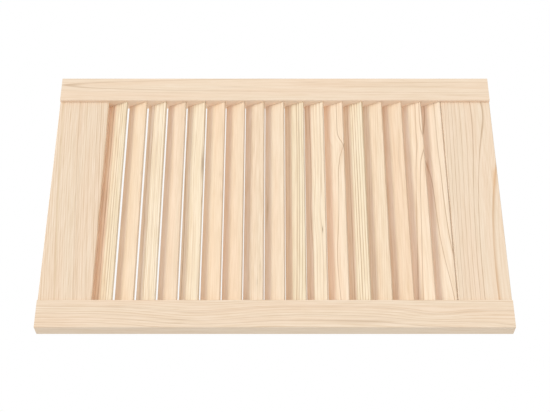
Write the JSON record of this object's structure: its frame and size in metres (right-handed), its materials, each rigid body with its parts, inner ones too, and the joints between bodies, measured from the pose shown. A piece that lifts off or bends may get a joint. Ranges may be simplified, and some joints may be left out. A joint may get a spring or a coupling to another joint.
{
  "type": "louvered cabinet door",
  "caption": "Ventilated cabinet door of bare pine, with slanted fixed louvres housed between plain stiles and recessed rails.",
  "frame": {"origin": "middle of the back face, so the door lies on its back on the ground plane with its origin under its centre", "axes": "+X runs down the door from the top rail to the bottom rail, +Y runs to the right of someone who faces the front of the hung door, +Z points out of the front face"},
  "size_m": [0.615, 0.394, 0.021],
  "materials": {
    "stile_pine": "planed and sanded, bare",
    "rail_pine": "planed and sanded, bare",
    "louvre_pine": "planed and sanded, bare",
    "beech": "turned, bare"
  },
  "bodies": {
    "root": {"left_stile": "stile_pine", "right_stile": "stile_pine", "top_rail": "rail_pine", "bottom_rail": "rail_pine", "corner_dowels": "beech", "louvre_01": "louvre_pine", "louvre_02": "louvre_pine", "louvre_03": "louvre_pine", "louvre_04": "louvre_pine", "louvre_05": "louvre_pine", "louvre_06": "louvre_pine", "louvre_07": "louvre_pine", "louvre_08": "louvre_pine", "louvre_09": "louvre_pine", "louvre_10": "louvre_pine", "louvre_11": "louvre_pine", "louvre_12": "louvre_pine", "louvre_13": "louvre_pine", "louvre_14": "louvre_pine", "louvre_15": "louvre_pine", "louvre_16": "louvre_pine", "louvre_17": "louvre_pine"}
  },
  "joints": []
}
